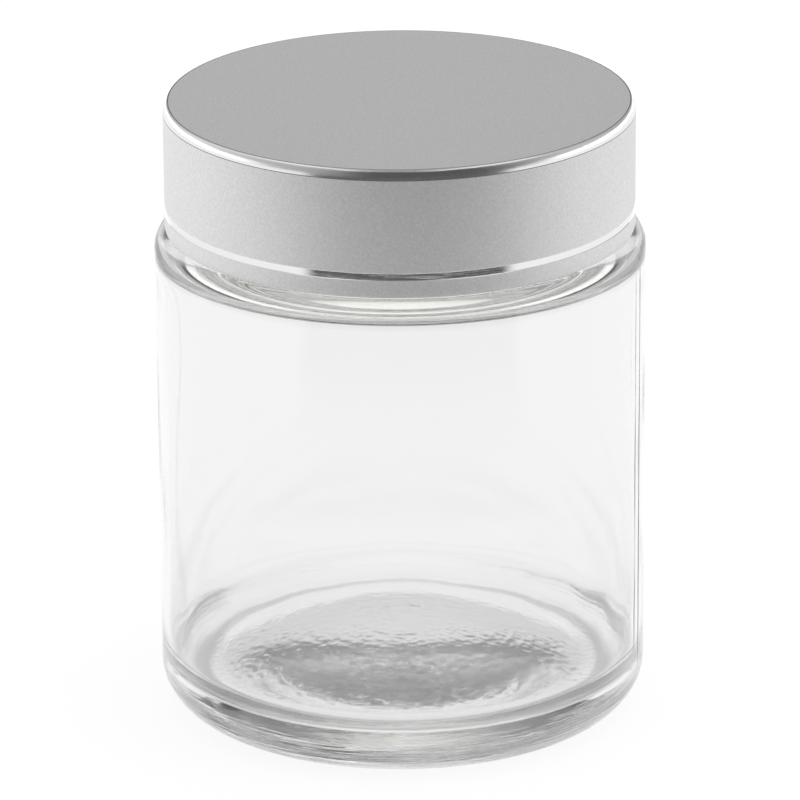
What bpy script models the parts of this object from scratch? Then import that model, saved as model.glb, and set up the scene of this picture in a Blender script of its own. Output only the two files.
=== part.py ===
"""Straight-sided glass jar with a silver screw cap, in metres, +Z up.

The origin is the centre of the base, on the plane that the jar rests on. There are four pieces: the moulded
glass body, the sealing disc, the plastic inner cap that screws on the neck, and the drawn aluminium shell
that is pressed over it. All are turned about Z. Each is drawn as the corners of its half section, from the
axis outwards, down the outer side and back to the axis, with a fillet at each corner that has one.
"""

import math

import bpy
from mathutils import Vector

MM = 0.001

# Glass body
JAR_RADIUS = 31.0 * MM
JAR_WALL = 1.2 * MM
BODY_HEIGHT = 63.4 * MM
FLOOR_HEIGHT = 5.6 * MM
FLOOR_CORNER_WIDTH = 4.2 * MM
FLOOR_CORNER_HEIGHT = 3.9 * MM
FLOOR_DOME_HEIGHT = 4.3 * MM
FLOOR_DOME_INSET = 0.6 * MM
HEEL_RADIUS = 5.9 * MM
RESTING_RING_WIDTH = 2.3 * MM
PUSH_UP_HEIGHT = 1.0 * MM
SHOULDER_RADIUS = 2.4 * MM
SHOULDER_THICKNESS = 2.1 * MM
CEILING_RADIUS = 2.2 * MM

# Neck of the glass body, with the collar that it is lifted by when it leaves the mould
NECK_INSET = 4.6 * MM
NECK_HEIGHT = 13.1 * MM
NECK_WALL = 2.4 * MM
NECK_ROOT_RADIUS = 0.6 * MM
THROAT_RADIUS = 1.4 * MM
LIP_RADIUS = 0.8 * MM
COLLAR_DEPTH = 0.8 * MM
COLLAR_HEIGHT = 2.0 * MM
COLLAR_RISE = 1.6 * MM

# Room that the screw thread takes between the neck and the inner cap
THREAD_DEPTH = 1.05 * MM
THREAD_CLEARANCE = 0.35 * MM

# Sealing disc
LINER_THICKNESS = 1.0 * MM
LINER_CLEARANCE = 0.4 * MM
LINER_EDGE_RADIUS = 0.2 * MM

# Inner cap, with the bead in its bore that keeps the sealing disc in
INNER_CAP_WALL = 1.1 * MM
INNER_CAP_ROOF = 1.2 * MM
INNER_CAP_EDGE_RADIUS = 0.9 * MM
INNER_CAP_LEAD_IN = 0.5 * MM
INNER_CAP_RECESS = 0.45 * MM
KEEPER_DEPTH = 0.6 * MM
KEEPER_HEIGHT = 0.7 * MM

# Aluminium shell, with its bright rim band and bright ring
SHELL_WALL = 0.45 * MM
SHELL_LIFT = 0.32 * MM
SHELL_CORNER_RADIUS = 0.5 * MM
SHELL_FOOT_RADIUS = 0.2 * MM
RIM_BAND_HEIGHT = 1.21 * MM
RIM_BAND_DEPTH = 0.58 * MM
RING_RISE = 2.23 * MM
RING_HEIGHT = 0.97 * MM
RING_DEPTH = 0.12 * MM

# Gap kept wherever two pieces meet
SEAT_GAP = 0.3 * MM

# Sizes that the closure takes from the neck, with heights above the rim of the glass
NECK_RADIUS = JAR_RADIUS - NECK_INSET
CAP_BORE_RADIUS = NECK_RADIUS + THREAD_DEPTH + THREAD_CLEARANCE
INNER_CAP_RADIUS = CAP_BORE_RADIUS + INNER_CAP_WALL
SHELL_BORE_RADIUS = INNER_CAP_RADIUS + SEAT_GAP
CAP_RADIUS = SHELL_BORE_RADIUS + SHELL_WALL
LINER_TOP = SEAT_GAP + LINER_THICKNESS
ROOF_UNDERSIDE = LINER_TOP + SEAT_GAP
ROOF_TOP = ROOF_UNDERSIDE + INNER_CAP_ROOF
SHELL_UNDERSIDE = ROOF_TOP + SEAT_GAP
CAP_TOP = SHELL_UNDERSIDE + SHELL_WALL
SHELL_FOOT = SHELL_LIFT - NECK_HEIGHT
INNER_CAP_FOOT = SHELL_FOOT + INNER_CAP_RECESS

# Forms of the two domes: level in the middle, and level again at the foot where the foot power is over one
FLOOR_DOME_POWER = 3
FLOOR_DOME_FOOT_POWER = 1.6
PUSH_UP_POWER = 4
PUSH_UP_FOOT_POWER = 1

# Faces round a turned piece, and along its fillets and its domes
TURN_STEPS = 72
FACET_LENGTH = 1.2 * MM
LEAST_FILLET_STEPS = 3
DOME_STEPS = 7
WELD_DISTANCE = 0.01 * MM
SHARP_ANGLE = math.radians(32)


def fillet(before, corner, after, first_leg, second_leg):
    """Points of a quarter round between the two sides of a corner, with a length along each side."""
    start = corner + (before - corner).normalized() * first_leg
    end = corner + (after - corner).normalized() * second_leg
    centre = start + end - corner
    steps = max(LEAST_FILLET_STEPS, round((end - start).length / FACET_LENGTH))
    turns = [math.pi / 2 * step / steps for step in range(steps + 1)]
    return [centre + (start - centre) * math.cos(turn) + (end - centre) * math.sin(turn) for turn in turns]


def half_section(corners):
    """The outline of a turned piece from corners of (radius, height, first fillet leg, second fillet leg)."""
    points = [Vector(corner[:2]) for corner in corners]
    outline = []
    for index, corner in enumerate(corners):
        if len(corner) == 2:
            outline.append(points[index])
        else:
            outline += fillet(points[index - 1], points[index], points[index + 1], corner[2], corner[-1])
    kept = [outline[0]]
    for point in outline[1:]:
        if (point - kept[-1]).length > WELD_DISTANCE:
            kept.append(point)
    return kept


def dome(radius, foot, height, power, foot_power):
    """Corners of a dome that stands on a foot height, from the axis out to its radius."""
    shares = [step / DOME_STEPS for step in range(DOME_STEPS + 1)]
    return [(radius * share, foot + height * (1 - share**power) ** foot_power) for share in shares]


def bead(radius, top, depth, height):
    """Corners of a half-round ring that stands out from a wall, or into it for a negative depth."""
    foot = top - height
    half = abs(height) / 2
    crest = radius + depth
    return [
        (radius, top),
        (crest, top, abs(depth), half),
        (crest, foot, half, abs(depth)),
        (radius, foot),
    ]


def material(name, colour, roughness, metallic=0.0, transmission=0.0):
    made = bpy.data.materials.new(name)
    made.use_nodes = True
    shader = made.node_tree.nodes["Principled BSDF"]
    shader.inputs["Base Color"].default_value = (*colour, 1)
    shader.inputs["Roughness"].default_value = roughness
    shader.inputs["Metallic"].default_value = metallic
    shader.inputs["Transmission Weight"].default_value = transmission
    made.diffuse_color = (*colour, 1)
    return made


def turned(name, corners, finish, parent=None):
    """One closed piece: its half section turned about Z by a Screw modifier, kept as a smooth-shaded mesh."""
    points = half_section(corners)
    outline = bpy.data.meshes.new(name + "_section")
    edges = [(index, index + 1) for index in range(len(points) - 1)]
    outline.from_pydata([(point.x, 0, point.y) for point in points], edges, [])
    piece = bpy.data.objects.new(name, outline)
    jar.objects.link(piece)
    screw = piece.modifiers.new("turn", "SCREW")
    screw.axis = "Z"
    screw.angle = math.tau
    screw.steps = TURN_STEPS
    screw.render_steps = TURN_STEPS
    screw.use_merge_vertices = True
    screw.merge_threshold = WELD_DISTANCE
    solid = bpy.data.meshes.new_from_object(piece.evaluated_get(bpy.context.evaluated_depsgraph_get()))
    piece.modifiers.clear()
    piece.data = solid
    bpy.data.meshes.remove(outline)
    solid.name = name
    solid.shade_smooth()
    solid.set_sharp_from_angle(angle=SHARP_ANGLE)
    solid.materials.append(finish)
    piece.parent = parent
    return piece


def joint_axis(name, height, parent=None):
    """An empty on the jar's axis, which carries the pieces that slide or turn there."""
    empty = bpy.data.objects.new(name, None)
    empty.empty_display_size = JAR_RADIUS
    empty.location.z = height
    empty.parent = parent
    jar.objects.link(empty)
    return empty


def glass_jar():
    """The moulded body, from the inner floor up the inside, over the lip and down the outside to the base."""
    inner_radius = JAR_RADIUS - JAR_WALL
    floor_radius = inner_radius - FLOOR_CORNER_WIDTH - FLOOR_DOME_INSET
    push_up_radius = JAR_RADIUS - HEEL_RADIUS - RESTING_RING_WIDTH
    ceiling = BODY_HEIGHT - SHOULDER_THICKNESS
    mouth_radius = NECK_RADIUS - NECK_WALL
    rim = BODY_HEIGHT + NECK_HEIGHT
    collar_top = BODY_HEIGHT + COLLAR_RISE + COLLAR_HEIGHT
    corners = [
        *dome(floor_radius, FLOOR_HEIGHT, FLOOR_DOME_HEIGHT, FLOOR_DOME_POWER, FLOOR_DOME_FOOT_POWER),
        (inner_radius, FLOOR_HEIGHT, FLOOR_CORNER_WIDTH, FLOOR_CORNER_HEIGHT),
        (inner_radius, ceiling, CEILING_RADIUS),
        (mouth_radius, ceiling, THROAT_RADIUS),
        (mouth_radius, rim, LIP_RADIUS),
        (NECK_RADIUS, rim, LIP_RADIUS),
        *bead(NECK_RADIUS, collar_top, COLLAR_DEPTH, COLLAR_HEIGHT),
        (NECK_RADIUS, BODY_HEIGHT, NECK_ROOT_RADIUS),
        (JAR_RADIUS, BODY_HEIGHT, SHOULDER_RADIUS),
        (JAR_RADIUS, 0, HEEL_RADIUS),
        *reversed(dome(push_up_radius, 0, PUSH_UP_HEIGHT, PUSH_UP_POWER, PUSH_UP_FOOT_POWER)),
    ]
    glass = material("clear_glass", (0.93, 0.96, 0.95), 0.05, transmission=0.9)
    return turned("glass_jar", corners, glass)


def cap_liner(parent):
    """A disc cut from foam sheet, which lies loose in the roof of the inner cap."""
    radius = CAP_BORE_RADIUS - LINER_CLEARANCE
    corners = [
        (0, LINER_TOP),
        (radius, LINER_TOP, LINER_EDGE_RADIUS),
        (radius, SEAT_GAP, LINER_EDGE_RADIUS),
        (0, SEAT_GAP),
    ]
    foam = material("foamed_polyethylene", (0.90, 0.90, 0.88), 0.7)
    return turned("cap_liner", corners, foam, parent)


def inner_cap(parent):
    """Roof, skirt with a lead-in at its foot, and the bore that screws on the neck."""
    corners = [
        (0, ROOF_TOP),
        (INNER_CAP_RADIUS, ROOF_TOP, INNER_CAP_EDGE_RADIUS),
        (INNER_CAP_RADIUS, INNER_CAP_FOOT),
        (CAP_BORE_RADIUS + INNER_CAP_LEAD_IN, INNER_CAP_FOOT),
        (CAP_BORE_RADIUS, INNER_CAP_FOOT + INNER_CAP_LEAD_IN),
        *bead(CAP_BORE_RADIUS, -KEEPER_HEIGHT, -KEEPER_DEPTH, -KEEPER_HEIGHT),
        (CAP_BORE_RADIUS, ROOF_UNDERSIDE),
        (0, ROOF_UNDERSIDE),
    ]
    plastic = material("white_polypropylene", (0.86, 0.86, 0.85), 0.4)
    return turned("inner_cap", corners, plastic, parent)


def cap_shell(parent):
    """Flat top, convex rim band, side with its shallow ring, rounded foot, and the inside."""
    ring_foot = SHELL_FOOT + RING_RISE
    corners = [
        (0, CAP_TOP),
        (CAP_RADIUS, CAP_TOP, RIM_BAND_DEPTH, RIM_BAND_HEIGHT),
        (CAP_RADIUS, ring_foot + RING_HEIGHT),
        (CAP_RADIUS - RING_DEPTH, ring_foot + RING_HEIGHT / 2),
        (CAP_RADIUS, ring_foot),
        (CAP_RADIUS, SHELL_FOOT, SHELL_FOOT_RADIUS),
        (SHELL_BORE_RADIUS, SHELL_FOOT),
        (SHELL_BORE_RADIUS, SHELL_UNDERSIDE, SHELL_CORNER_RADIUS),
        (0, SHELL_UNDERSIDE),
    ]
    aluminium = material("anodised_aluminium", (0.62, 0.62, 0.63), 0.35, metallic=1.0)
    return turned("cap_shell", corners, aluminium, parent)


for old in list(bpy.data.objects):
    bpy.data.objects.remove(old, do_unlink=True)

jar = bpy.data.collections.new("glass_jar_with_screw_cap")
bpy.context.scene.collection.children.link(jar)
glass_jar()

# The sealing disc rises with the cap without turning, and the cap turns about it
cap_rise = joint_axis("cap_rise", BODY_HEIGHT + NECK_HEIGHT)
cap_turn = joint_axis("cap_turn", 0, cap_rise)
cap_liner(cap_rise)
inner_cap(cap_turn)
cap_shell(cap_turn)
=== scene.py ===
"""A clear glass jar with a satin aluminium screw cap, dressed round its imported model, in metres, +Z up."""

import math

import bpy
import numpy as np
from mathutils import Matrix, Vector


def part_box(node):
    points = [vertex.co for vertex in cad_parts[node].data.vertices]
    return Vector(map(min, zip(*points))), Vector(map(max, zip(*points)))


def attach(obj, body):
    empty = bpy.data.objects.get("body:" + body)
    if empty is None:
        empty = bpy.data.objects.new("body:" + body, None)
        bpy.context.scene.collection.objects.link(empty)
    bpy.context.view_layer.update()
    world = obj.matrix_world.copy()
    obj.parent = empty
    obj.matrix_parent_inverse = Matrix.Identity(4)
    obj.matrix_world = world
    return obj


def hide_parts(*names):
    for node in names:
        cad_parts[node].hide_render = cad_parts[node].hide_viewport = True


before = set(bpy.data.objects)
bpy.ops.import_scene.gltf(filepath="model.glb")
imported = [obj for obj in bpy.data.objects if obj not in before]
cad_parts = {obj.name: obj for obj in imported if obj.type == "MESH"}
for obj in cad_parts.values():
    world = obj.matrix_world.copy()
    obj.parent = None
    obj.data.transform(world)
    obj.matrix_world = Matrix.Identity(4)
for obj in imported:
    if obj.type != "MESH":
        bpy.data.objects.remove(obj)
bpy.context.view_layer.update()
scene = bpy.context.scene


# Glass body
# One piece of clear soda-lime glass, moulded in polished iron: thick base with a domed inner floor, straight
# wall, rolled shoulder and a threaded neck. Only air touched the inside, so it waves. The outside has the two
# seams of the mould, and underneath a knurled ring that the jar rests on.
MM = 0.001
# A point of an outline counts as on a surface within a hair or two of it.
HAIR = 0.01 * MM
SAME_POINT = 0.004 * MM


def arc(centre, radii, start, end, steps):
    """Points of (radius, height) along an ellipse round centre, between two angles in degrees."""
    turns = [math.radians(start + (end - start) * step / steps) for step in range(steps + 1)]
    return [(centre[0] + radii[0] * math.cos(t), centre[1] + radii[1] * math.sin(t)) for t in turns]


def refined(points, pitch):
    """The outline with points added until none are further apart than pitch(radius, height)."""
    finer = [points[0]]
    for end in points[1:]:
        start = finer[-1]
        length = math.dist(start, end)
        if length < SAME_POINT:
            continue
        middle = ((start[0] + end[0]) / 2, (start[1] + end[1]) / 2)
        parts = max(1, math.ceil(length / pitch(*middle)))
        for part in range(1, parts + 1):
            share = part / parts
            finer.append(tuple(a + (b - a) * share for a, b in zip(start, end)))
    return finer


def turned(name, outline, angles, relief=None):
    """A closed mesh turned about Z from an outline that starts and ends on the axis.

    relief(radius, height, along, angle) gives how far each point stands out from the smooth surface.
    """
    points = np.array(outline)
    rings = points[1:-1]
    chords = points[2:] - points[:-2]
    away = np.stack([-chords[:, 1], chords[:, 0]], axis=1)
    away /= np.linalg.norm(away, axis=1)[:, None]
    steps = len(angles)
    radius = np.repeat(rings[:, :1], steps, axis=1)
    height = np.repeat(rings[:, 1:], steps, axis=1)
    angle = np.repeat(np.asarray(angles)[None, :], len(rings), axis=0)
    if relief is not None:
        path = np.cumsum(np.linalg.norm(np.diff(points[:-1], axis=0), axis=1))
        along = np.repeat(path[:, None], steps, axis=1)
        shift = relief(radius, height, along, angle)
        radius = radius + shift * away[:, :1]
        height = height + shift * away[:, 1:]
    places = np.stack([radius * np.cos(angle), radius * np.sin(angle), height], axis=2).reshape(-1, 3)
    first, last = len(places), len(places) + 1
    places = np.vstack([places, [(0, 0, height[0].mean()), (0, 0, height[-1].mean())]])
    around = np.arange(steps)
    beside = (around + 1) % steps
    faces = [(first, a, b) for a, b in zip(around, beside)]
    for row in range(len(rings) - 1):
        here, below = row * steps, (row + 1) * steps
        faces += [(here + a, below + a, below + b, here + b) for a, b in zip(around, beside)]
    foot = (len(rings) - 1) * steps
    faces += [(last, foot + b, foot + a) for a, b in zip(around, beside)]
    mesh = bpy.data.meshes.new(name)
    mesh.from_pydata(places.tolist(), [], [[int(v) for v in face] for face in faces])
    mesh.shade_smooth()
    piece = bpy.data.objects.new(name, mesh)
    scene.collection.objects.link(piece)
    return piece


def even_angles(steps):
    """Angles of equal steps once round."""
    return np.arange(steps) * math.tau / steps


def linear(hex_colour):
    """An sRGB hex colour as linear red, green, blue and alpha."""
    parts = [int(hex_colour[place : place + 2], 16) / 255 for place in (1, 3, 5)]
    return (*[part / 12.92 if part <= 0.04045 else ((part + 0.055) / 1.055) ** 2.4 for part in parts], 1)


def add(tree, kind, inputs=None, **settings):
    """A node in tree, with its settings, and with a value or another node's output for each input."""
    made = tree.nodes.new(kind)
    for name, value in settings.items():
        setattr(made, name, value)
    for socket, value in (inputs or {}).items():
        if isinstance(value, bpy.types.NodeSocket):
            tree.links.new(value, made.inputs[socket])
        else:
            made.inputs[socket].default_value = value
    return made


def new_material(name):
    """An empty material, and the node tree to build it in."""
    material = bpy.data.materials.new(name)
    material.use_nodes = True
    material.node_tree.nodes.clear()
    return material, material.node_tree


def smooth(value, low, high):
    """0 below low, 1 above high, and a smooth rise between them."""
    share = np.clip((value - low) / (high - low), 0, 1)
    return share * share * (3 - 2 * share)


def streaks(along, angle, seed, count, shortest, longest, laps):
    """A smooth random field drawn out round the axis: waves along the outline that drift on the way round."""
    chance = np.random.default_rng(seed)
    lengths = np.exp(chance.uniform(math.log(shortest), math.log(longest), count))
    turns = chance.integers(-laps, laps + 1, count)
    phases = chance.uniform(0, math.tau, count)
    field = np.zeros_like(along)
    for length, turn, phase in zip(lengths, turns, phases):
        field += np.sin(math.tau * along / length + turn * angle + phase)
    return field / math.sqrt(count / 2)


def ripples(radius, angle, seed, count, shortest, longest):
    """A smooth random field over a round floor, with waves of every heading."""
    chance = np.random.default_rng(seed)
    lengths = np.exp(chance.uniform(math.log(shortest), math.log(longest), count))
    headings = chance.uniform(0, math.tau, count)
    phases = chance.uniform(0, math.tau, count)
    field = np.zeros_like(radius)
    for length, heading, phase in zip(lengths, headings, phases):
        field += np.sin(math.tau * radius * np.cos(angle - heading) / length + phase)
    return field / math.sqrt(count / 2)


BODY_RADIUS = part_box("glass_jar")[1].x
RIM_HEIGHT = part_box("glass_jar")[1].z
WALL = 1.2 * MM
BODY_HEIGHT = 63.4 * MM
FLOOR_HEIGHT = 5.6 * MM
FLOOR_CORNER = (4.2 * MM, 3.9 * MM)
FLOOR_DOME = 4.3 * MM
FLOOR_DOME_INSET = 0.6 * MM
FLOOR_DOME_FLATNESS = 3
FLOOR_DOME_EDGE = 1.6
HEEL_RADIUS = 5.9 * MM
RESTING_RING = 2.3 * MM
PUSH_UP = 1.0 * MM
PUSH_UP_FLATNESS = 4
SHOULDER_RADIUS = 2.4 * MM
SHOULDER_FOOT = BODY_HEIGHT - SHOULDER_RADIUS
SHOULDER_THICKNESS = 2.1 * MM
CEILING_RADIUS = 2.2 * MM
INNER_RADIUS = BODY_RADIUS - WALL
CEILING = BODY_HEIGHT - SHOULDER_THICKNESS
NECK_INSET = 4.6 * MM
NECK_WALL = 2.4 * MM
NECK_RADIUS = BODY_RADIUS - NECK_INSET
MOUTH_RADIUS = NECK_RADIUS - NECK_WALL
NECK_ROOT = 0.6 * MM
THROAT_RADIUS = 1.4 * MM
LIP_RADIUS = 0.8 * MM
COLLAR = 0.8 * MM
COLLAR_HALF = 1.0 * MM
COLLAR_RISE = 2.6 * MM
COLLAR_MIDDLE = BODY_HEIGHT + COLLAR_RISE
HEEL_FOOT = BODY_RADIUS - HEEL_RADIUS
PUSH_UP_RADIUS = HEEL_FOOT - RESTING_RING
FLOOR_STEPS = 60


def glass_outline():
    """Inner floor, wall, ceiling, throat, lip, neck, collar, shoulder, wall, heel and underside."""
    wide, high = FLOOR_CORNER
    dome_radius = INNER_RADIUS - wide - FLOOR_DOME_INSET
    shares = [step / FLOOR_STEPS for step in range(FLOOR_STEPS + 1)]
    dome = [FLOOR_DOME * (1 - share**FLOOR_DOME_FLATNESS) ** FLOOR_DOME_EDGE for share in shares]
    push_up = [PUSH_UP * (1 - share**PUSH_UP_FLATNESS) for share in shares]
    return [
        *[(dome_radius * share, FLOOR_HEIGHT + rise) for share, rise in zip(shares, dome)],
        *arc((INNER_RADIUS - wide, FLOOR_HEIGHT + high), (wide, high), -90, 0, 24),
        *arc((INNER_RADIUS - CEILING_RADIUS, CEILING - CEILING_RADIUS), (CEILING_RADIUS,) * 2, 0, 90, 14),
        *arc((MOUTH_RADIUS + THROAT_RADIUS, CEILING + THROAT_RADIUS), (THROAT_RADIUS,) * 2, 270, 180, 10),
        *arc((MOUTH_RADIUS + LIP_RADIUS, RIM_HEIGHT - LIP_RADIUS), (LIP_RADIUS,) * 2, 180, 90, 10),
        *arc((NECK_RADIUS - LIP_RADIUS, RIM_HEIGHT - LIP_RADIUS), (LIP_RADIUS,) * 2, 90, 0, 10),
        *arc((NECK_RADIUS, COLLAR_MIDDLE), (COLLAR, COLLAR_HALF), 90, -90, 20),
        *arc((NECK_RADIUS + NECK_ROOT, BODY_HEIGHT + NECK_ROOT), (NECK_ROOT,) * 2, 180, 270, 8),
        *arc((BODY_RADIUS - SHOULDER_RADIUS, SHOULDER_FOOT), (SHOULDER_RADIUS,) * 2, 90, 0, 20),
        *arc((HEEL_FOOT, HEEL_RADIUS), (HEEL_RADIUS,) * 2, 0, -90, 36),
        *reversed([(PUSH_UP_RADIUS * share, rise) for share, rise in zip(shares, push_up)]),
    ]


THREAD_SPACING = 0.2 * MM
HEEL_SPACING = 0.15 * MM
FLOOR_SPACING = 0.3 * MM
GLASS_SPACING = 1.2 * MM


def glass_pitch(radius, height):
    """How close the points of the outline lie: closest on the heel and on the threaded neck."""
    if height > COLLAR_MIDDLE and radius > NECK_RADIUS - LIP_RADIUS:
        return THREAD_SPACING
    if height < HEEL_RADIUS and radius > PUSH_UP_RADIUS:
        return HEEL_SPACING
    if height < FLOOR_HEIGHT + FLOOR_DOME and radius < BODY_RADIUS - WALL / 2:
        return FLOOR_SPACING
    return GLASS_SPACING


THREAD_PITCH = 4.233 * MM
THREAD_DEPTH = 1.05 * MM
THREAD_HALF_WIDTH = 1.05 * MM
THREAD_ROUNDNESS = 1.3
THREAD_TURNS = 1.2
THREAD_DROP = 7.2 * MM
THREAD_START = RIM_HEIGHT - THREAD_DROP
THREAD_RUN_OUT = 0.08


def helix(height, angle, start, half_width):
    """How far up the flank of a right-hand thread each point lies: 1 on its crest and 0 off it."""
    crest = np.zeros_like(height)
    for lap in range(-1, math.ceil(THREAD_TURNS) + 1):
        turns = angle / math.tau + lap
        across = np.minimum(np.abs(height - start - THREAD_PITCH * turns) / half_width, 1)
        ends = smooth(turns, 0, THREAD_RUN_OUT) * smooth(THREAD_TURNS - turns, 0, THREAD_RUN_OUT)
        crest = np.maximum(crest, ends * np.cos(across * math.pi / 2) ** THREAD_ROUNDNESS)
    return crest


SEAM_DEPTH = 0.03 * MM
SEAM_HALF_WIDTH = 0.25 * MM
SEAM_ANGLE = math.radians(-14)
SEAM_FADE = 2 * MM
WALL_WAVE = 0.012 * MM
WALL_FADE_LOW = 5 * MM
WALL_FADE_HIGH = 3 * MM
SURFACE_MARGIN = 0.1 * MM
SWIRL_HEIGHT = 0.005 * MM
LUMP_HEIGHT = 0.006 * MM
SMOOTHEST_PATCH = 0.3
RING_MARK_RADIUS = 5.0 * MM
RING_MARK_WIDTH = 0.22 * MM
RING_MARK_HEIGHT = 0.02 * MM
SPECK_COUNT = 110
SPECK_SIZES = (0.15 * MM, 0.4 * MM)
SPECK_RING_RADIUS = 18.8 * MM
SPECK_SPREAD = 0.5 * MM
SPECK_HEIGHT = 0.02 * MM
EDGE_MARK_RADIUS = 24.3 * MM
EDGE_MARK_WIDTH = 0.5 * MM
EDGE_MARK_HEIGHT = 0.02 * MM
EDGE_MARK_UNEVENNESS = 0.012 * MM
MIDDLE_FADE = 1.5 * MM
EDGE_FADE = 1 * MM
WRINKLE_DEPTH = 0.003 * MM
STREAK_DEPTH = 0.015 * MM
STREAK_FADE = 0.6 * MM
KNURLS = 108
KNURL_DEPTH = 0.025 * MM
GLASS_STEPS = 432
SEAM_STEPS = 3


def specks(radius, angle, seed):
    """Small round pimples scattered near one circle of the floor."""
    chance = np.random.default_rng(seed)
    field = np.zeros_like(radius)
    for place in chance.uniform(0, math.tau, SPECK_COUNT):
        size = chance.uniform(*SPECK_SIZES)
        away = chance.normal(SPECK_RING_RADIUS, SPECK_SPREAD)
        apart = radius * np.angle(np.exp(1j * (angle - place)))
        field += np.exp(-((apart / size) ** 2) - ((radius - away) / size) ** 2)
    return field


def glass_relief(radius, height, along, angle):
    """Thread, seams and heel streaks outside, wall waves and floor swirls inside, knurls below."""
    outside = (radius > NECK_RADIUS - HAIR) & (height > COLLAR_MIDDLE)
    shift = np.where(outside, THREAD_DEPTH * helix(height, angle, THREAD_START, THREAD_HALF_WIDTH), 0)

    body = (np.abs(radius - BODY_RADIUS) < 2 * HAIR) & (height > HEEL_RADIUS)
    off_seam = np.abs(np.angle(np.exp(2j * (angle - SEAM_ANGLE)))) / 2 * BODY_RADIUS
    below_seam = SEAM_DEPTH * (1 - np.cos(np.minimum(off_seam / SEAM_HALF_WIDTH, 1) * math.pi)) / 2
    fading = smooth(height - HEEL_RADIUS, 0, SEAM_FADE) * smooth(SHOULDER_FOOT - height, 0, SEAM_FADE)
    shift = np.where(body, -below_seam * fading, shift)

    top, bottom = CEILING - CEILING_RADIUS, FLOOR_HEIGHT + FLOOR_CORNER[1]
    wall = (np.abs(radius - INNER_RADIUS) < 2 * HAIR) & (height > bottom) & (height < top)
    fading = smooth(height - bottom, 0, WALL_FADE_LOW) * smooth(top - height, 0, WALL_FADE_HIGH)
    waves = streaks(height, angle, seed=11, count=40, shortest=18 * MM, longest=70 * MM, laps=26)
    shift = np.where(wall, WALL_WAVE * waves * fading, shift)

    low = (height > FLOOR_HEIGHT - SURFACE_MARGIN) & (height <= FLOOR_HEIGHT + FLOOR_DOME)
    low &= radius < INNER_RADIUS - 2 * HAIR
    swirl = streaks(along, angle, seed=5, count=48, shortest=0.9 * MM, longest=5 * MM, laps=9)
    lumps = ripples(radius, angle, seed=8, count=80, shortest=0.8 * MM, longest=4 * MM)
    blotches = ripples(radius, angle, seed=21, count=24, shortest=5 * MM, longest=16 * MM)
    patches = SMOOTHEST_PATCH + 0.5 + 0.5 * np.tanh(blotches)
    ring_mark = np.exp(-(((radius - RING_MARK_RADIUS) / RING_MARK_WIDTH) ** 2))
    edge_mark = np.exp(-(((radius - EDGE_MARK_RADIUS) / EDGE_MARK_WIDTH) ** 2))
    uneven = ripples(radius, angle, seed=27, count=60, shortest=1 * MM, longest=3 * MM)
    floor_shape = (SWIRL_HEIGHT * swirl + LUMP_HEIGHT * lumps) * patches
    floor_shape += RING_MARK_HEIGHT * ring_mark + SPECK_HEIGHT * specks(radius, angle, seed=3)
    floor_shape += edge_mark * (EDGE_MARK_HEIGHT + EDGE_MARK_UNEVENNESS * uneven)
    floor_shape *= smooth(radius, 0, MIDDLE_FADE) * smooth(INNER_RADIUS - radius, 0, EDGE_FADE)
    shift = np.where(low, floor_shape, shift)

    under = (height < PUSH_UP + SURFACE_MARGIN) & (radius < PUSH_UP_RADIUS)
    fading = smooth(PUSH_UP_RADIUS - radius, 0, MIDDLE_FADE) * smooth(radius, 0, MIDDLE_FADE)
    wrinkles = streaks(along, angle, seed=31, count=40, shortest=1.2 * MM, longest=7 * MM, laps=7)
    wrinkles += ripples(radius, angle, seed=33, count=40, shortest=2 * MM, longest=8 * MM)
    shift = np.where(under, -WRINKLE_DEPTH * np.abs(wrinkles) * fading, shift)

    heel = (height < HEEL_RADIUS) & (radius > HEEL_FOOT)
    fading = smooth(height, 0, STREAK_FADE) * smooth(HEEL_RADIUS - height, 0, EDGE_FADE)
    drawn = streaks(along, angle, seed=41, count=60, shortest=0.5 * MM, longest=3 * MM, laps=8)
    shift = np.where(heel, -STREAK_DEPTH * np.abs(drawn) * fading, shift)

    ring = (height < 2 * HAIR) & (radius > PUSH_UP_RADIUS) & (radius < HEEL_FOOT)
    across = np.sin(np.clip((radius - PUSH_UP_RADIUS) / RESTING_RING, 0, 1) * math.pi)
    return np.where(ring, -KNURL_DEPTH * across * (0.5 - 0.5 * np.cos(KNURLS * angle)), shift)


near_seam = [
    SEAM_ANGLE + step * SEAM_HALF_WIDTH / BODY_RADIUS / SEAM_STEPS
    for step in range(-SEAM_STEPS, SEAM_STEPS + 1)
]
glass_angles = np.union1d(
    even_angles(GLASS_STEPS), [(side + turn) % math.tau for side in near_seam for turn in (0, math.pi)]
)
glass = turned("glass_body", refined(glass_outline(), glass_pitch), glass_angles, glass_relief)

# Clear soda-lime glass: water-white and mirror-smooth, with fine chill wrinkles on the inner floor that
# mottle what shows through it. It lets the lamps through to what stands behind it.
CHILL_LOW = 3 * MM
CHILL_HIGH = 11 * MM
CHILL_RADIUS = 24.5 * MM
CHILL_FADE = 1.3 * MM
BUMP_DEPTH = 0.2 * MM
clear_glass, tree = new_material("clear_soda_lime_glass")
path = add(tree, "ShaderNodeLightPath")
place = add(tree, "ShaderNodeTexCoord")
wrinkle = add(tree, "ShaderNodeTexNoise", {
    "Vector": place.outputs["Object"], "Scale": 1500.0, "Detail": 4.0, "Roughness": 0.65,
})
axes = add(tree, "ShaderNodeSeparateXYZ", {0: place.outputs["Object"]})
level = add(tree, "ShaderNodeCombineXYZ", {0: axes.outputs["X"], 1: axes.outputs["Y"]})
out = add(tree, "ShaderNodeVectorMath", {0: level.outputs[0]}, operation="LENGTH")
within = add(tree, "ShaderNodeMapRange", {
    "Value": out.outputs["Value"], "From Min": CHILL_RADIUS + CHILL_FADE, "From Max": CHILL_RADIUS,
}, interpolation_type="SMOOTHSTEP")
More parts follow.
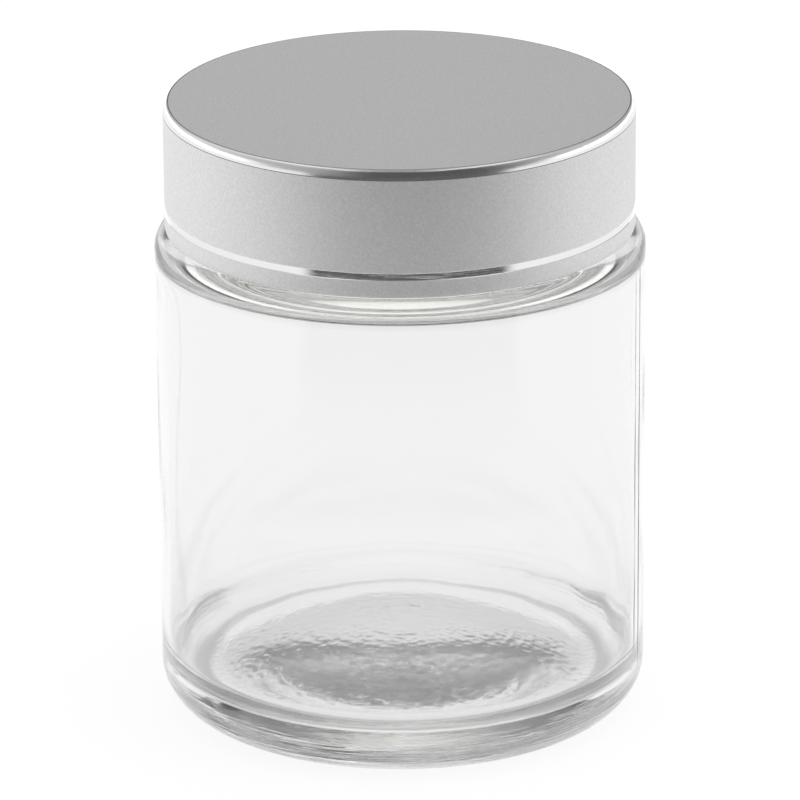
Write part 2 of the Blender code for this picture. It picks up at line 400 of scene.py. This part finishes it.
above = add(tree, "ShaderNodeMath", {0: axes.outputs["Z"], 1: CHILL_LOW}, operation="GREATER_THAN")
below = add(tree, "ShaderNodeMath", {0: axes.outputs["Z"], 1: CHILL_HIGH}, operation="LESS_THAN")
slab = add(tree, "ShaderNodeMath", {0: above.outputs[0], 1: below.outputs[0]}, operation="MULTIPLY")
chilled = add(tree, "ShaderNodeMath", {0: slab.outputs[0], 1: within.outputs[0]}, operation="MULTIPLY")
chill = add(tree, "ShaderNodeMapRange", {"Value": chilled.outputs[0], "To Min": 0.012, "To Max": 0.08})
bump = add(tree, "ShaderNodeBump", {
    "Height": wrinkle.outputs[0], "Strength": chill.outputs[0], "Distance": BUMP_DEPTH,
})
# The heel keeps the streaks of the mould's turning, under 1 mm high and some 20 mm long, worn away in places.
slant = add(tree, "ShaderNodeMath", {0: axes.outputs["Z"], 1: out.outputs["Value"]}, operation="ADD")
drawn = add(tree, "ShaderNodeCombineXYZ", {0: axes.outputs["X"], 1: axes.outputs["Y"], 2: slant.outputs[0]})
drawn = add(tree, "ShaderNodeVectorMath", {0: drawn.outputs[0], 1: (60, 60, 1100)}, operation="MULTIPLY")
lines = add(tree, "ShaderNodeTexNoise", {
    "Vector": drawn.outputs[0], "Scale": 1.0, "Detail": 5.0, "Roughness": 0.6, "Distortion": 0.3,
})
lowest = add(tree, "ShaderNodeMapRange", {
    "Value": axes.outputs["Z"], "From Min": HEEL_RADIUS + 0.9 * MM, "From Max": HEEL_RADIUS - 0.3 * MM,
})
outer = add(tree, "ShaderNodeMapRange", {
    "Value": out.outputs["Value"], "From Min": HEEL_FOOT - 0.2 * MM, "From Max": HEEL_FOOT + 0.5 * MM,
})
worn = add(tree, "ShaderNodeTexNoise", {"Vector": place.outputs["Object"], "Scale": 70.0, "Detail": 2.0})
worn = add(tree, "ShaderNodeMapRange", {
    "Value": worn.outputs[0], "From Min": 0.42, "From Max": 0.58, "To Min": 0.06, "To Max": 0.8,
})
heel = add(tree, "ShaderNodeMath", {0: lowest.outputs[0], 1: outer.outputs[0]}, operation="MULTIPLY")
heel = add(tree, "ShaderNodeMath", {0: heel.outputs[0], 1: worn.outputs[0]}, operation="MULTIPLY")
bump = add(tree, "ShaderNodeBump", {
    "Height": lines.outputs[0],
    "Strength": heel.outputs[0],
    "Distance": BUMP_DEPTH,
    "Normal": bump.outputs[0],
})
body = add(tree, "ShaderNodeBsdfPrincipled", {
    "Base Color": linear("#FAFAFA"),
    "Roughness": 0.0,
    "IOR": 1.52,
    "Transmission Weight": 1.0,
    "Normal": bump.outputs[0],
})
passing = add(tree, "ShaderNodeBsdfTransparent", {"Color": linear("#F4F4F4")})
either = add(tree, "ShaderNodeMixShader", {
    0: path.outputs["Is Shadow Ray"], 1: body.outputs[0], 2: passing.outputs[0],
})
add(tree, "ShaderNodeOutputMaterial", {"Surface": either.outputs[0]})
glass.data.materials.append(clear_glass)
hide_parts("glass_jar")
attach(glass, "jar")


# Sealing disc
# A disc punched from white closed-cell polyethylene foam, 1 mm thick. It lies loose in the roof of the inner
# cap and is squeezed on the rim of the glass, which leaves a shallow round dent in it.
disc_low, disc_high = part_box("cap_liner")
DISC_EDGE = 0.2 * MM
DENT_DEPTH = 0.07 * MM
DENT_WIDTH = 0.9 * MM
DISC_SPACING = 0.5 * MM
DISC_STEPS = 192
disc_outline = [
    (0, disc_high.z),
    *arc((disc_high.x - DISC_EDGE, disc_high.z - DISC_EDGE), (DISC_EDGE,) * 2, 90, 0, 5),
    *arc((disc_high.x - DISC_EDGE, disc_low.z + DISC_EDGE), (DISC_EDGE,) * 2, 0, -90, 5),
    (0, disc_low.z),
]


def disc_relief(radius, height, along, angle):
    """The dent that the rim of the glass has pressed into the underside."""
    rim_middle = (MOUTH_RADIUS + NECK_RADIUS) / 2
    dent = np.exp(-(((radius - rim_middle) / DENT_WIDTH) ** 2))
    return np.where(height < disc_low.z + HAIR, -DENT_DEPTH * dent, 0)


fine_outline = refined(disc_outline, lambda radius, height: DISC_SPACING)
disc = turned("sealing_disc", fine_outline, even_angles(DISC_STEPS), disc_relief)

# Closed-cell foam: matt white, with the skin of small flat bubbles that it splits into.
foam, tree = new_material("white_polyethylene_foam")
place = add(tree, "ShaderNodeTexCoord")
cells = add(tree, "ShaderNodeTexVoronoi", {
    "Vector": place.outputs["Object"], "Scale": 2200.0,
}, feature="SMOOTH_F1")
tone = add(tree, "ShaderNodeMix", {
    "Factor": cells.outputs["Distance"], 6: linear("#F1F1ED"), 7: linear("#E4E4DF"),
}, data_type="RGBA")
bump = add(tree, "ShaderNodeBump", {
    "Height": cells.outputs["Distance"], "Strength": 0.4, "Distance": 0.1 * MM,
})
shader = add(tree, "ShaderNodeBsdfPrincipled", {
    "Base Color": tone.outputs[2], "Roughness": 0.75, "Normal": bump.outputs[0],
})
add(tree, "ShaderNodeOutputMaterial", {"Surface": shader.outputs[0]})
disc.data.materials.append(foam)
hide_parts("cap_liner")
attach(disc, "liner")


# Inner cap
# White polypropylene, moulded round a core that is unscrewed from it, which leaves the thread inside. A small
# bead above the thread keeps the sealing disc in.
inner_low, inner_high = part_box("inner_cap")
INNER_WALL = 1.1 * MM
INNER_ROOF = 1.2 * MM
INNER_EDGE = 0.9 * MM
LEAD_IN = 0.5 * MM
KEEPER = 0.6 * MM
KEEPER_HALF = 0.35 * MM
CAP_THREAD_HALF_WIDTH = 1.0 * MM
GATE_RADIUS = 1.6 * MM
GATE_DEPTH = 0.25 * MM
GATE_SPACING = 0.4 * MM
INNER_SPACING = 2 * MM
INNER_STEPS = 240
bore = inner_high.x - INNER_WALL
roof_underside = inner_high.z - INNER_ROOF
keeper_middle = RIM_HEIGHT - KEEPER_HALF
inner_outline = [
    (0, inner_high.z),
    *arc((inner_high.x - INNER_EDGE, inner_high.z - INNER_EDGE), (INNER_EDGE,) * 2, 90, 0, 10),
    (inner_high.x, inner_low.z),
    (bore + LEAD_IN, inner_low.z),
    (bore, inner_low.z + LEAD_IN),
    *arc((bore, keeper_middle), (-KEEPER, KEEPER_HALF), -90, 90, 12),
    (bore, roof_underside),
    (0, roof_underside),
]


def inner_relief(radius, height, along, angle):
    """The thread inside the bore, and the dimple round the gate that the cap was filled through."""
    inside = (np.abs(radius - bore) < 2 * HAIR) & (height < keeper_middle - KEEPER_HALF)
    thread = helix(height, angle, THREAD_START - THREAD_PITCH / 2, CAP_THREAD_HALF_WIDTH)
    dimple = -GATE_DEPTH * smooth(GATE_RADIUS - radius, 0, GATE_RADIUS / 2)
    return np.where(inside, THREAD_DEPTH * thread, np.where(height > inner_high.z - HAIR, dimple, 0))


def inner_pitch(radius, height):
    """Close on the bore, where the thread is, and in the middle of the roof, and wide elsewhere."""
    if radius < GATE_RADIUS:
        return GATE_SPACING
    if height < RIM_HEIGHT and bore - KEEPER < radius < bore + LEAD_IN:
        return THREAD_SPACING
    return INNER_SPACING


fine_outline = refined(inner_outline, inner_pitch)
inner = turned("inner_cap_moulding", fine_outline, even_angles(INNER_STEPS), inner_relief)
inner.data.set_sharp_from_angle(angle=math.radians(50))

# Polypropylene: milky white and slightly waxy, half gloss, with the faint mottle of cooled flow.
polypropylene, tree = new_material("white_moulded_polypropylene")
place = add(tree, "ShaderNodeTexCoord")
flow = add(tree, "ShaderNodeTexNoise", {
    "Vector": place.outputs["Object"], "Scale": 120.0, "Detail": 3.0, "Distortion": 0.6,
})
tone = add(tree, "ShaderNodeMix", {
    "Factor": flow.outputs[0], 6: linear("#E8E8E6"), 7: linear("#EFEFED"),
}, data_type="RGBA")
gloss = add(tree, "ShaderNodeMapRange", {"Value": flow.outputs[0], "To Min": 0.34, "To Max": 0.44})
bump = add(tree, "ShaderNodeBump", {"Height": flow.outputs[0], "Strength": 0.15, "Distance": 0.1 * MM})
shader = add(tree, "ShaderNodeBsdfPrincipled", {
    "Base Color": tone.outputs[2],
    "Roughness": gloss.outputs[0],
    "Subsurface Weight": 0.15,
    "Subsurface Radius": (2 * MM, 2 * MM, 2 * MM),
    "Subsurface Scale": 1.0,
    "Normal": bump.outputs[0],
})
add(tree, "ShaderNodeOutputMaterial", {"Surface": shader.outputs[0]})
inner.data.materials.append(polypropylene)
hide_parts("inner_cap")
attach(inner, "cap")


# Aluminium shell
# Drawn from thin aluminium sheet, etched satin and clear anodised, then turned with a diamond tool round its
# top edge and near its foot, which leaves two mirror-bright bands. It is pressed over the inner cap.
shell_low, shell_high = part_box("cap_shell")
SHELL_WALL = 0.45 * MM
BAND_HEIGHT = 1.21 * MM
BAND_DEPTH = 0.58 * MM
CREASE_DEPTH = 0.06 * MM
CREASE_WIDTH = 0.14 * MM
# Height of the thin strip under the bright band that carries the painted shade.
SHADE_STRIP = 0.10 * MM
RING_RISE = 2.23 * MM
RING_HEIGHT = 0.97 * MM
RING_DEPTH = 0.07 * MM
FOOT_RADIUS = 0.2 * MM
CORNER_RADIUS = 0.5 * MM
SHELL_SPACING = 1 * MM
SHELL_STEPS = 360
shell_bore = shell_high.x - SHELL_WALL
shell_roof = shell_high.z - SHELL_WALL
crease = shell_high.x - BAND_DEPTH
band_foot = shell_high.z - BAND_HEIGHT
ring_foot = shell_low.z + RING_RISE
ring_top = ring_foot + RING_HEIGHT
shell_outline = [
    (0, shell_high.z),
    (crease - CREASE_WIDTH, shell_high.z),
    (crease - CREASE_WIDTH / 2, shell_high.z - CREASE_DEPTH),
    *arc((crease, band_foot), (BAND_DEPTH, BAND_HEIGHT), 90, 0, 24),
    (shell_high.x, band_foot - SHADE_STRIP),
    (shell_high.x, ring_top),
    (shell_high.x - RING_DEPTH, ring_top - RING_DEPTH),
    (shell_high.x - RING_DEPTH, ring_foot + RING_DEPTH),
    (shell_high.x, ring_foot),
    *arc((shell_high.x - FOOT_RADIUS, shell_low.z + FOOT_RADIUS), (FOOT_RADIUS,) * 2, 0, -90, 5),
    (shell_bore, shell_low.z),
    *arc((shell_bore - CORNER_RADIUS, shell_roof - CORNER_RADIUS), (CORNER_RADIUS,) * 2, 0, 90, 6),
    (0, shell_roof),
]
fine_outline = refined(shell_outline, lambda radius, height: SHELL_SPACING)
shell = turned("aluminium_shell", fine_outline, even_angles(SHELL_STEPS))
shell.data.set_sharp_from_angle(angle=math.radians(30))

# Etched and clear-anodised aluminium: a soft silver grey sheen with the fine grain of the etch, drawn a few
# tenths of a millimetre wide so that it shows.
satin, tree = new_material("satin_anodised_aluminium")
place = add(tree, "ShaderNodeTexCoord")
grain = add(tree, "ShaderNodeTexNoise", {
    "Vector": place.outputs["Object"], "Scale": 3200.0, "Detail": 2.0, "Roughness": 0.7,
})
cloud = add(tree, "ShaderNodeTexNoise", {"Vector": place.outputs["Object"], "Scale": 90.0, "Detail": 3.0})
tone = add(tree, "ShaderNodeMapRange", {"Value": grain.outputs[0], "From Min": 0.3, "From Max": 0.7})
colour = add(tree, "ShaderNodeMix", {
    "Factor": tone.outputs[0], 6: linear("#DDDDDD"), 7: linear("#EBEBEB"),
}, data_type="RGBA")
gloss = add(tree, "ShaderNodeMapRange", {"Value": cloud.outputs[0], "To Min": 0.58, "To Max": 0.64})
bump = add(tree, "ShaderNodeBump", {"Height": grain.outputs[0], "Strength": 0.12, "Distance": 0.02 * MM})
shader = add(tree, "ShaderNodeBsdfPrincipled", {
    "Base Color": colour.outputs[2],
    "Metallic": 1.0,
    "Roughness": gloss.outputs[0],
    "Normal": bump.outputs[0],
})
add(tree, "ShaderNodeOutputMaterial", {"Surface": shader.outputs[0]})

# Diamond-turned aluminium: mirror-bright, with the rings of the cut, drawn 0.12 mm apart so that they show,
# and short tears along them that break up what it mirrors. The top band is a little duller than the ring.
bright, tree = new_material("diamond_cut_aluminium")
place = add(tree, "ShaderNodeTexCoord")
rings = add(tree, "ShaderNodeTexWave", {
    "Vector": place.outputs["Object"],
    "Scale": 2600.0,
    "Distortion": 1.5,
    "Detail": 2.0,
    "Detail Scale": 0.4,
}, bands_direction="Z")
chatter = add(tree, "ShaderNodeTexNoise", {"Vector": place.outputs["Object"], "Scale": 700.0, "Detail": 3.0})
height = add(tree, "ShaderNodeMath", {0: rings.outputs["Fac"], 1: chatter.outputs[0]}, operation="ADD")
gloss = add(tree, "ShaderNodeMapRange", {"Value": chatter.outputs[0], "To Min": 0.04, "To Max": 0.09})
axes = add(tree, "ShaderNodeSeparateXYZ", {0: place.outputs["Object"]})
coarse = add(tree, "ShaderNodeMapRange", {
    "Value": axes.outputs["Z"], "From Min": ring_top, "From Max": band_foot, "To Min": 0.0, "To Max": 0.12,
})
gloss = add(tree, "ShaderNodeMath", {0: gloss.outputs[0], 1: coarse.outputs[0]}, operation="ADD")
bump = add(tree, "ShaderNodeBump", {
    "Height": height.outputs[0], "Strength": 0.06, "Distance": 0.03 * MM,
})
drawn = add(tree, "ShaderNodeVectorMath", {
    0: place.outputs["Object"], 1: (150, 150, 1500),
}, operation="MULTIPLY")
tears = add(tree, "ShaderNodeTexNoise", {"Vector": drawn.outputs[0], "Scale": 1.0, "Detail": 4.0})
bump = add(tree, "ShaderNodeBump", {
    "Height": tears.outputs[0], "Strength": 0.5, "Distance": 0.06 * MM, "Normal": bump.outputs[0],
})
shader = add(tree, "ShaderNodeBsdfPrincipled", {
    "Base Color": linear("#EAEAEA"),
    "Metallic": 1.0,
    "Roughness": gloss.outputs[0],
    "Normal": bump.outputs[0],
})
add(tree, "ShaderNodeOutputMaterial", {"Surface": shader.outputs[0]})

# Painted shade: darker, rougher aluminium in the crease and on a thin strip at the foot of the bright top
# band, so a thin dark grey line on each side of the band.
crease_shade, tree = new_material("painted_crease_shade_aluminium")
place = add(tree, "ShaderNodeTexCoord")
shade_mottle = add(tree, "ShaderNodeTexNoise", {"Vector": place.outputs["Object"], "Scale": 2500.0, "Detail": 3.0})
tone = add(tree, "ShaderNodeMix", {
    "Factor": shade_mottle.outputs[0], 6: linear("#6E6E6E"), 7: linear("#A0A0A0"),
}, data_type="RGBA")
bump = add(tree, "ShaderNodeBump", {"Height": shade_mottle.outputs[0], "Strength": 0.4, "Distance": 0.02 * MM})
shader = add(tree, "ShaderNodeBsdfPrincipled", {
    "Base Color": tone.outputs[2], "Metallic": 1.0, "Roughness": 0.6, "Normal": bump.outputs[0],
})
add(tree, "ShaderNodeOutputMaterial", {"Surface": shader.outputs[0]})
for finish in (satin, bright, crease_shade):
    shell.data.materials.append(finish)
SATIN, BRIGHT, PAINTED_SHADE = range(3)
for face in shell.data.polygons:
    middle = face.center
    out = math.hypot(middle.x, middle.y)
    on_band = middle.z > band_foot and out > crease
    on_ring = ring_foot < middle.z < ring_top and out > shell_bore + SHELL_WALL / 2
    in_crease = middle.z > shell_high.z - CREASE_DEPTH and crease - CREASE_WIDTH < out < crease
    at_foot = band_foot - SHADE_STRIP < middle.z < band_foot and out > shell_high.x - CREASE_WIDTH
    # Faces in the crease and on the strip at the band's foot get the darker metal of the painted shade.
    face.material_index = PAINTED_SHADE if in_crease or at_foot else BRIGHT if on_band or on_ring else SATIN
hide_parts("cap_shell")
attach(shell, "cap")


# Floor and studio
# A wide white floor under a white studio, lit by large soft lamps. Metal and glass show what stands round
# them, so grey cards and dim walls that only they see are set up, as they would be for a photograph.


def sheet(name, corners, material, seen_by, faces=None):
    """A stage surface, one flat face unless faces are given, seen only by the named kinds of ray."""
    mesh = bpy.data.meshes.new(name)
    mesh.from_pydata(corners, [], faces or [list(range(len(corners)))])
    mesh.materials.append(material)
    made = bpy.data.objects.new(name, mesh)
    for kind in ("camera", "diffuse", "glossy", "transmission", "shadow"):
        setattr(made, "visible_" + kind, kind in seen_by)
    scene.collection.objects.link(made)


def level_corners(low, high, height):
    """Corners of a level rectangle between two opposite corners of x and y."""
    return [(x, y, height) for x, y in (low, (high[0], low[1]), high, (low[0], high[1]))]


def glowing_material(name):
    """An empty material whose light is seen where a ray meets it, but isn't counted among the lamps."""
    material, tree = new_material(name)
    material.cycles.emission_sampling = "NONE"
    return material, tree


# Seamless white paper: even and matt. Part of its light is its own, so that it fades into the white studio.
paper, tree = glowing_material("white_studio_paper")
path = add(tree, "ShaderNodeLightPath")
matt = add(tree, "ShaderNodeBsdfDiffuse", {"Color": linear("#EDEDED")})
through = add(tree, "ShaderNodeMapRange", {
    "Value": path.outputs["Is Transmission Ray"], "To Min": 1.0, "To Max": 0.94,
})
# The shadow under the rounded heel, drawn on the paper and seen only through the glass.
place = add(tree, "ShaderNodeTexCoord")
out = add(tree, "ShaderNodeVectorMath", {0: place.outputs["Object"]}, operation="LENGTH")
under = add(tree, "ShaderNodeMapRange", {
    "Value": out.outputs["Value"], "From Min": BODY_RADIUS - 2 * MM, "From Max": BODY_RADIUS - 4 * MM,
}, interpolation_type="SMOOTHSTEP")
beyond = add(tree, "ShaderNodeMapRange", {
    "Value": out.outputs["Value"],
    "From Min": PUSH_UP_RADIUS + RESTING_RING / 2,
    "From Max": PUSH_UP_RADIUS + RESTING_RING,
})
shaded = add(tree, "ShaderNodeMath", {0: under.outputs[0], 1: beyond.outputs[0]}, operation="MULTIPLY")
shaded = add(tree, "ShaderNodeMath", {
    0: shaded.outputs[0], 1: path.outputs["Is Transmission Ray"],
}, operation="MULTIPLY")
shadow = add(tree, "ShaderNodeMapRange", {"Value": shaded.outputs[0], "To Min": 1.0, "To Max": 0.58})
lit = add(tree, "ShaderNodeMath", {0: through.outputs[0], 1: shadow.outputs[0]}, operation="MULTIPLY")
own = add(tree, "ShaderNodeEmission", {"Color": (1, 1, 1, 1), "Strength": lit.outputs[0]})
share = add(tree, "ShaderNodeMath", {
    0: path.outputs["Is Camera Ray"], 1: path.outputs["Is Glossy Ray"],
}, operation="MAXIMUM")
share = add(tree, "ShaderNodeMath", {0: share.outputs[0], 1: 0.85}, operation="MULTIPLY")
mixed = add(tree, "ShaderNodeMixShader", {0: share.outputs[0], 1: matt.outputs[0], 2: own.outputs[0]})
add(tree, "ShaderNodeOutputMaterial", {"Surface": mixed.outputs[0]})
FLOOR_REACH = 3.0
sheet(
    "studio_floor",
    level_corners((-FLOOR_REACH, -FLOOR_REACH), (FLOOR_REACH, FLOOR_REACH), 0),
    paper,
    ("camera", "diffuse", "glossy", "transmission", "shadow"),
)


def card_material(name, level):
    """Card of one even brightness, whatever light falls on it."""
    material, tree = glowing_material(name)
    glow = add(tree, "ShaderNodeEmission", {"Color": (level, level, level, 1), "Strength": 1.0})
    add(tree, "ShaderNodeOutputMaterial", {"Surface": glow.outputs[0]})
    return material


SECTOR_STEPS = 20


def sector(near, far, start, end, height):
    """Corners of a piece of a flat ring round Z, between two angles in degrees."""
    turns = [start + (end - start) * step / SECTOR_STEPS for step in range(SECTOR_STEPS + 1)]
    angles = [math.radians(turn) for turn in turns]
    rim = [(near, a) for a in angles] + [(far, a) for a in reversed(angles)]
    return [(radius * math.cos(a), radius * math.sin(a), height) for radius, a in rim]


# Dark card on the floor before the jar, which the bright ring mirrors in front. Its edges fade into the
# paper, so the ring turns from dark to bright softly.
DARK_CARD_LEVEL = 0.12
PAPER_LEVEL = 0.97
CARD_NEAR = 0.14
CARD_DARK_FROM = 0.2
CARD_FAR = 1.45
CARD_HEIGHT = 1 * MM
CARD_TURN = 4
CARD_DARK_ANGLE = 42
CARD_PAPER_ANGLE = 50
CARD_HALF_ANGLE = 51
FRONT = 270
front_card, tree = glowing_material("dark_grey_front_card")
place = add(tree, "ShaderNodeTexCoord")
axes = add(tree, "ShaderNodeSeparateXYZ", {0: place.outputs["Object"]})
ahead = add(tree, "ShaderNodeMath", {0: axes.outputs["Y"], 1: -1.0}, operation="MULTIPLY")
heading = add(tree, "ShaderNodeMath", {0: axes.outputs["X"], 1: ahead.outputs[0]}, operation="ARCTAN2")
turned_off = add(tree, "ShaderNodeMath", {
    0: heading.outputs[0], 1: math.radians(CARD_TURN),
}, operation="SUBTRACT")
aside = add(tree, "ShaderNodeMath", {0: turned_off.outputs[0]}, operation="ABSOLUTE")
end = add(tree, "ShaderNodeMapRange", {
    "Value": aside.outputs[0],
    "From Min": math.radians(CARD_DARK_ANGLE),
    "From Max": math.radians(CARD_PAPER_ANGLE),
    "To Min": DARK_CARD_LEVEL,
    "To Max": PAPER_LEVEL,
}, interpolation_type="SMOOTHSTEP")
out = add(tree, "ShaderNodeVectorMath", {0: place.outputs["Object"]}, operation="LENGTH")
near = add(tree, "ShaderNodeMapRange", {
    "Value": out.outputs["Value"],
    "From Min": CARD_DARK_FROM,
    "From Max": CARD_NEAR,
    "To Min": DARK_CARD_LEVEL,
    "To Max": PAPER_LEVEL,
}, interpolation_type="SMOOTHSTEP")
level = add(tree, "ShaderNodeMath", {0: end.outputs[0], 1: near.outputs[0]}, operation="MAXIMUM")
glow = add(tree, "ShaderNodeEmission", {"Color": (1, 1, 1, 1), "Strength": level.outputs[0]})
add(tree, "ShaderNodeOutputMaterial", {"Surface": glow.outputs[0]})
middle = FRONT + CARD_TURN
sheet(
    "dark_front_card",
    sector(CARD_NEAR, CARD_FAR, middle - CARD_HALF_ANGLE, middle + CARD_HALF_ANGLE, CARD_HEIGHT),
    front_card,
    ("glossy",),
)

# Grey card in front of the overhead light, which the top of the cap and the bright band mirror.
ROOM_RADIUS = 1.5
ROOM_HEIGHT = 2.2
ROOM_STEPS = 96
OVERHEAD_REACH = (0.8, 1.5)
overhead, tree = glowing_material("pale_grey_overhead_card")
place = add(tree, "ShaderNodeTexCoord")
axes = add(tree, "ShaderNodeSeparateXYZ", {0: place.outputs["Object"]})
aside = add(tree, "ShaderNodeMath", {0: axes.outputs["X"]}, operation="ABSOLUTE")
level = add(tree, "ShaderNodeMapRange", {
    "Value": aside.outputs[0], "From Min": 0.2, "From Max": OVERHEAD_REACH[0], "To Min": 0.36, "To Max": 1.0,
}, interpolation_type="SMOOTHSTEP")
glow = add(tree, "ShaderNodeEmission", {"Color": (1, 1, 1, 1), "Strength": level.outputs[0]})
add(tree, "ShaderNodeOutputMaterial", {"Surface": glow.outputs[0]})
sheet(
    "grey_overhead_card",
    level_corners((-OVERHEAD_REACH[0], -OVERHEAD_REACH[1]), OVERHEAD_REACH, ROOM_HEIGHT),
    overhead,
    ("glossy",),
)

# The room round the set, which the side of the cap mirrors: dark in front, where the camera stands, and
# lighter towards the back and the sides.
room, tree = glowing_material("dim_studio_walls")
place = add(tree, "ShaderNodeTexCoord")
axes = add(tree, "ShaderNodeSeparateXYZ", {0: place.outputs["Object"]})
aside = add(tree, "ShaderNodeMath", {0: axes.outputs["X"], 1: -0.28}, operation="ADD")
across = add(tree, "ShaderNodeMath", {0: aside.outputs[0]}, operation="ABSOLUTE")
side = add(tree, "ShaderNodeMapRange", {
    "Value": across.outputs[0], "From Min": 0.6, "From Max": 1.5, "To Min": 0.0, "To Max": 0.37,
}, interpolation_type="SMOOTHSTEP")
depth = add(tree, "ShaderNodeMapRange", {
    "Value": axes.outputs["Y"], "From Min": -1.2, "From Max": 1.2, "To Min": 0.105, "To Max": 0.46,
}, interpolation_type="SMOOTHSTEP")
beside = add(tree, "ShaderNodeMapRange", {
    "Value": axes.outputs["Y"], "From Min": -0.9, "From Max": 0.2, "To Min": 0.0, "To Max": 1.3,
}, interpolation_type="SMOOTHSTEP")
skirting = add(tree, "ShaderNodeMapRange", {
    "Value": axes.outputs["Z"], "From Min": 0.42, "From Max": 0.28,
}, interpolation_type="SMOOTHSTEP")
foot = add(tree, "ShaderNodeMath", {0: beside.outputs[0], 1: skirting.outputs[0]}, operation="MULTIPLY")
plain = add(tree, "ShaderNodeMath", {0: side.outputs[0], 1: depth.outputs[0]}, operation="ADD")
level = add(tree, "ShaderNodeMath", {0: plain.outputs[0], 1: foot.outputs[0]}, operation="ADD")
glow = add(tree, "ShaderNodeEmission", {"Color": (1, 1, 1, 1), "Strength": level.outputs[0]})
add(tree, "ShaderNodeOutputMaterial", {"Surface": glow.outputs[0]})
rim = [(ROOM_RADIUS * math.cos(a), ROOM_RADIUS * math.sin(a)) for a in even_angles(ROOM_STEPS)]
beside = [(step + 1) % ROOM_STEPS for step in range(ROOM_STEPS)]
sheet(
    "studio_walls",
    [(x, y, z) for z in (0, ROOM_HEIGHT) for x, y in rim],
    room,
    ("glossy",),
    [(a, b, ROOM_STEPS + b, ROOM_STEPS + a) for a, b in enumerate(beside)],
)

# Grey cards that only the glass sees: they put the dark edges in its base and shoulder.
BACK_DISTANCE = 0.7
BACK_REACH = 1.5
DARK_FOOT = 0.09
GREY_FOOT = 0.30
CEILING_CARD_HEIGHT = 1.2
for name, foot, top, shade, level in (
    ("dark_back_card", DARK_FOOT, GREY_FOOT, "dark_grey_back", 0.13),
    ("grey_back_card", GREY_FOOT, CEILING_CARD_HEIGHT, "mid_grey_card", 0.43),
):
    upright = ((-BACK_REACH, foot), (BACK_REACH, foot), (BACK_REACH, top), (-BACK_REACH, top))
    corners = [(x, BACK_DISTANCE, z) for x, z in upright]
    sheet(name, corners, card_material(shade, level), ("transmission",))
sheet(
    "grey_ceiling_card",
    level_corners((-FLOOR_REACH, -FLOOR_REACH), (FLOOR_REACH, BACK_DISTANCE), CEILING_CARD_HEIGHT),
    card_material("mid_grey_ceiling", 0.17),
    ("transmission",),
)

# The studio itself is white wherever it is seen or mirrored, and dimmer as a light on matt surfaces.
world = bpy.data.worlds.new("white_studio")
world.use_nodes = True
world.node_tree.nodes.clear()
tree = world.node_tree
path = add(tree, "ShaderNodeLightPath")
mirrored = add(tree, "ShaderNodeMath", {
    0: path.outputs["Is Glossy Ray"], 1: path.outputs["Is Transmission Ray"],
}, operation="MAXIMUM")
seen = add(tree, "ShaderNodeMath", {
    0: path.outputs["Is Camera Ray"], 1: mirrored.outputs[0],
}, operation="MAXIMUM")
level = add(tree, "ShaderNodeMapRange", {"Value": seen.outputs[0], "To Min": 0.45, "To Max": 1.0})
background = add(tree, "ShaderNodeBackground", {"Color": (1, 1, 1, 1), "Strength": level.outputs[0]})
add(tree, "ShaderNodeOutputWorld", {"Surface": background.outputs[0]})
scene.world = world


def lamp(name, place, aim, size, power):
    """A soft area lamp that lights matt surfaces and stays out of reflections."""
    data = bpy.data.lights.new(name, "AREA")
    data.shape = "RECTANGLE"
    data.size, data.size_y = size
    data.energy = power
    made = bpy.data.objects.new(name, data)
    made.location = place
    made.rotation_euler = (Vector(aim) - Vector(place)).to_track_quat("-Z", "Y").to_euler()
    made.visible_glossy = False
    made.visible_transmission = False
    scene.collection.objects.link(made)


lamp("overhead_softbox", (0.1, 0.1, 1.2), (0, 0, 0), (1.2, 1.2), 14)
lamp("left_softbox", (-1.0, -0.4, 0.6), (0, 0, 0.03), (0.7, 0.9), 5)
lamp("right_softbox", (1.0, -0.3, 0.6), (0, 0, 0.03), (0.7, 0.9), 5)
# Lights the white plastic inside the cap from below, which the glass shoulder shows.
lamp("light_table", (0, 0, 3 * MM), (0, 0, 1), (0.5, 0.5), 2.6)

VIEW_ELEVATION = math.radians(20.011)
VIEW_DISTANCE = 858.9 * MM
VIEW_LENS = 303.7
VIEW_ROLL = math.radians(-0.378)
VIEW_TARGET = Vector((-0.143 * MM, 0, 39.78 * MM))
data = bpy.data.cameras.new("camera")
data.lens = VIEW_LENS
data.clip_start = 0.05
data.clip_end = 20
camera = bpy.data.objects.new("camera", data)
back = Vector((0, -math.cos(VIEW_ELEVATION), math.sin(VIEW_ELEVATION)))
camera.matrix_world = (
    Matrix.Translation(VIEW_TARGET + back * VIEW_DISTANCE)
    @ Matrix.Rotation(math.pi / 2 - VIEW_ELEVATION, 4, "X")
    @ Matrix.Rotation(VIEW_ROLL, 4, "Z")
)
scene.collection.objects.link(camera)
scene.camera = camera
scene.view_settings.view_transform = "Standard"

# Light crosses the thick base and the neck many times, and a path cut short there turns black.
scene.cycles.max_bounces = 24
scene.cycles.diffuse_bounces = 6
scene.cycles.glossy_bounces = 16
scene.cycles.transmission_bounces = 24
